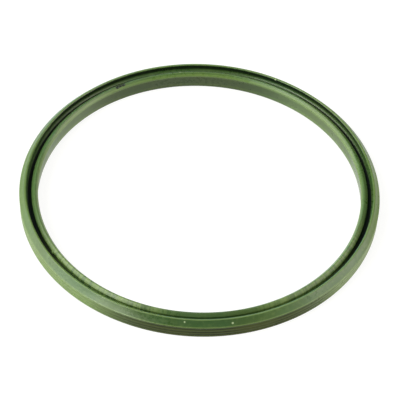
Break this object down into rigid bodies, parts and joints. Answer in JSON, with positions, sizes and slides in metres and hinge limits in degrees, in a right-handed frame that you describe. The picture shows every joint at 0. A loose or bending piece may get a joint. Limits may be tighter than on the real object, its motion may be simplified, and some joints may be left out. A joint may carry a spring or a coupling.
{
  "type": "turbocharger hose gasket",
  "caption": "Round moulded rubber lip seal for a charge-air hose coupling: flat foot, straight walls, a sharp outer lip, a beaded inner lip and a round undercut groove between them.",
  "frame": {"origin": "on the ring's axis, in the plane of its flat foot", "axes": "+Z along the ring's axis, from the foot towards the two lips; the ring is round, so +X and +Y are any two square directions across it"},
  "size_m": [0.07, 0.07, 0.0039],
  "materials": {
    "moulded_rubber": "satin, as moulded, olive green"
  },
  "bodies": {
    "root": {"seal_ring": "moulded_rubber"}
  },
  "joints": []
}
